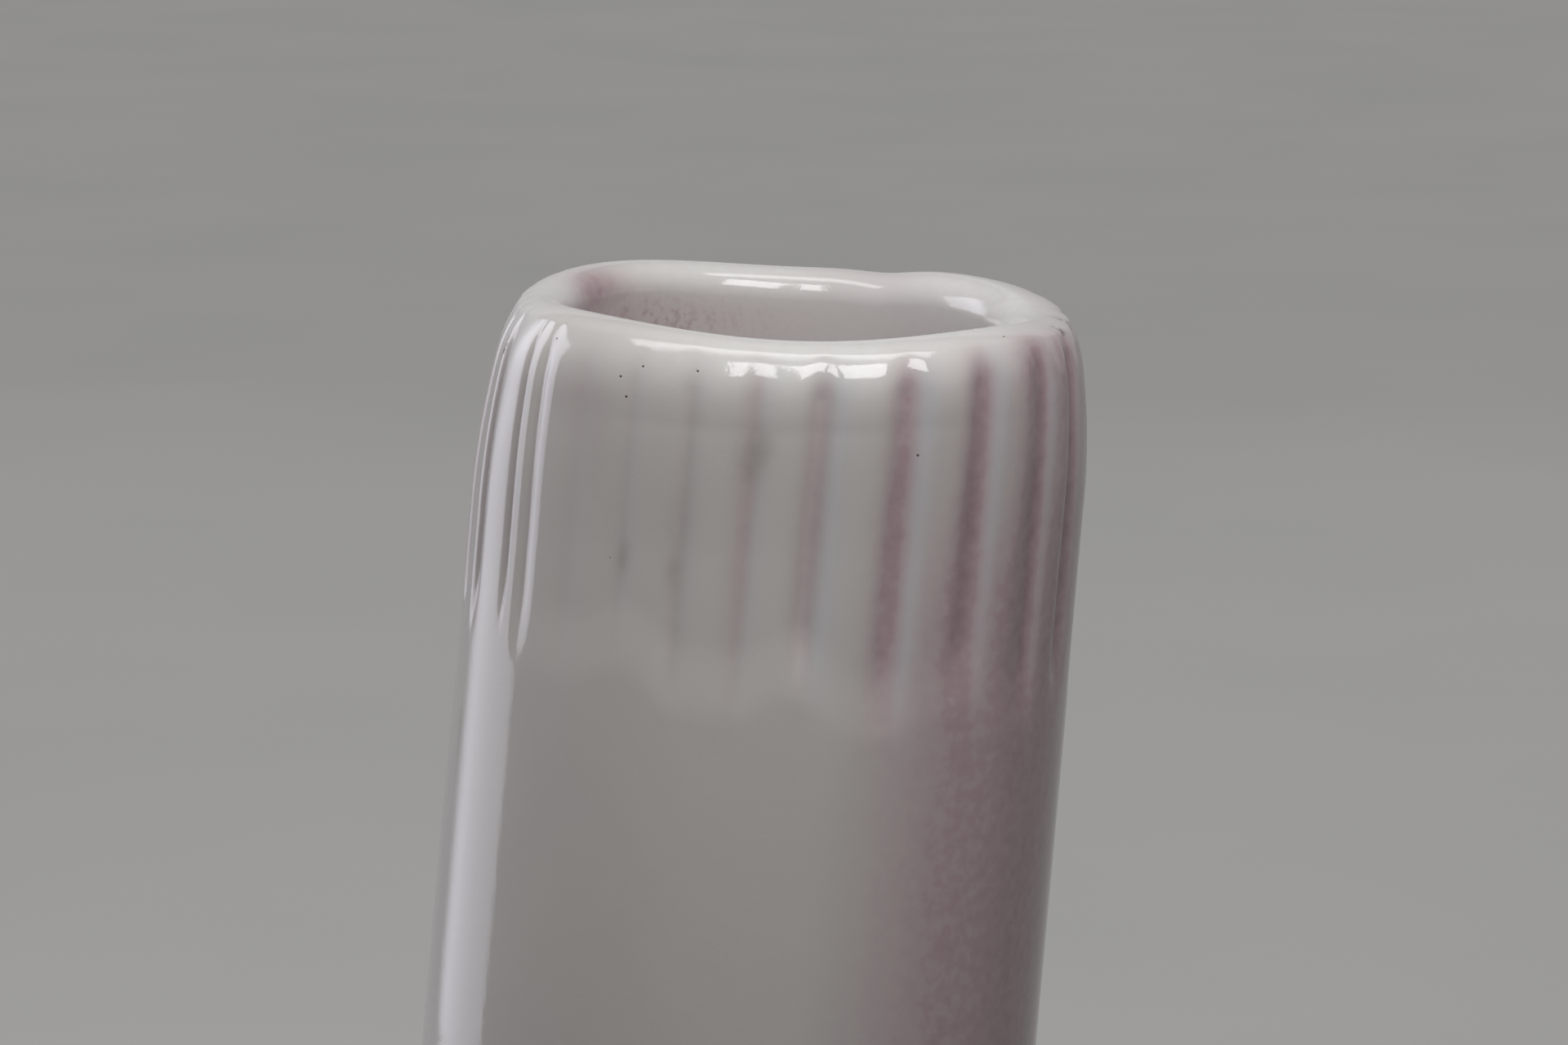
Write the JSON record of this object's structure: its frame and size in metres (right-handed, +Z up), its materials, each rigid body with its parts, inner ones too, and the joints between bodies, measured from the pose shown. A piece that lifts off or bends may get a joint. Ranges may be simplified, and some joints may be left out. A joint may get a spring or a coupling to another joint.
{
  "type": "vase",
  "caption": "Tall leaning vase of rounded section with a thick rounded lip, pressed flutes below it and a bare foot ring. Holds flowers and water.",
  "frame": {"origin": "on the table, under the middle of the vase's box", "axes": "+Z up, -Y towards the viewer of the front, +X the way the vase leans"},
  "size_m": [0.0874, 0.0716, 0.2113],
  "materials": {
    "outer_glaze": "glossy milk-white glaze that turns pink where it pools",
    "inner_glaze": "glossy milk-white glaze with pink mottling",
    "fired_clay": "dry fired clay",
    "bare_foot": "dry fired clay, rubbed smooth"
  },
  "bodies": {
    "root": {"outer_glaze": "outer_glaze", "inner_glaze": "inner_glaze", "clay_wall": "fired_clay", "base_slab": "fired_clay", "foot_ring": "bare_foot"}
  },
  "joints": []
}
